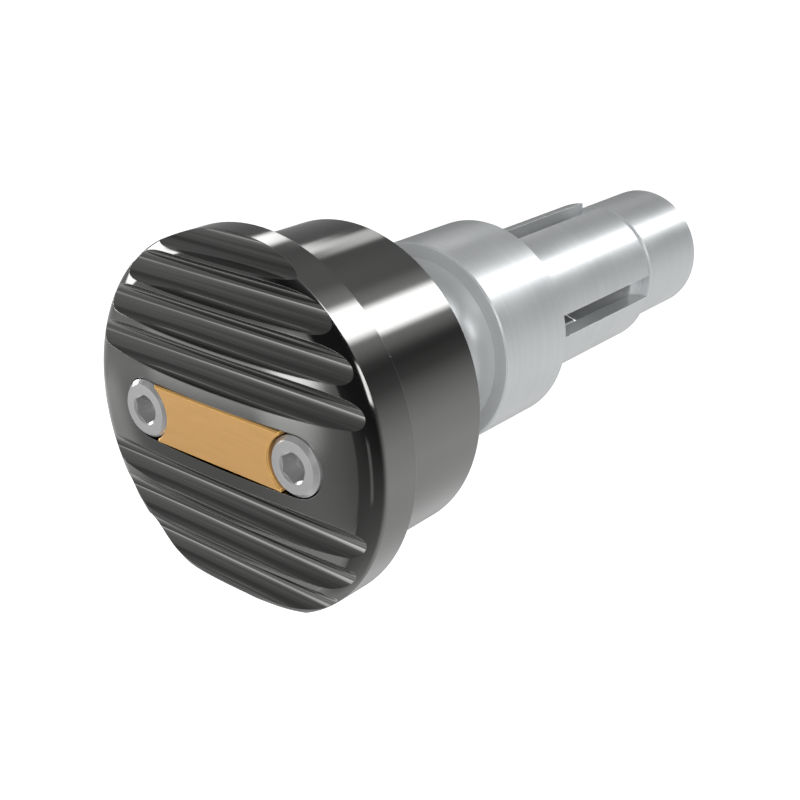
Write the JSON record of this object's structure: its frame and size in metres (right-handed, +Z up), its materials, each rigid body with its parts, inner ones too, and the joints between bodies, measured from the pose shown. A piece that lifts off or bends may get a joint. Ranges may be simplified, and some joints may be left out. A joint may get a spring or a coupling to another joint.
{
  "type": "bar end weight",
  "caption": "Weight for the end of a motorcycle handlebar: a fluted round head with a small plate, on a slotted sleeve that a cone spreads inside the bar.",
  "frame": {"origin": "centre of the collar's rear face, which butts on the end of the handlebar", "axes": "+X along the axis of turning, into the handlebar; the fluted face looks towards -X; +Z up, across the flutes"},
  "size_m": [0.0743, 0.036, 0.036],
  "materials": {
    "dark_anodised": "turned and milled, black anodised, glossy",
    "gold_anodised": "gold anodised, satin face with a bright bevel",
    "screw_steel": "plain stainless, satin",
    "satin_steel": "turned stainless, fine satin",
    "bolt_steel": "zinc plated"
  },
  "bodies": {
    "root": {"fluted_cap": "dark_anodised", "weight_body": "dark_anodised", "badge_plate": "gold_anodised", "cap_screw_left": "screw_steel", "cap_screw_right": "screw_steel", "bar_adapter": "satin_steel", "expansion_sleeve": "satin_steel", "cone_nut": "satin_steel", "clamp_bolt": "bolt_steel", "bolt_washer": "bolt_steel"}
  },
  "joints": []
}
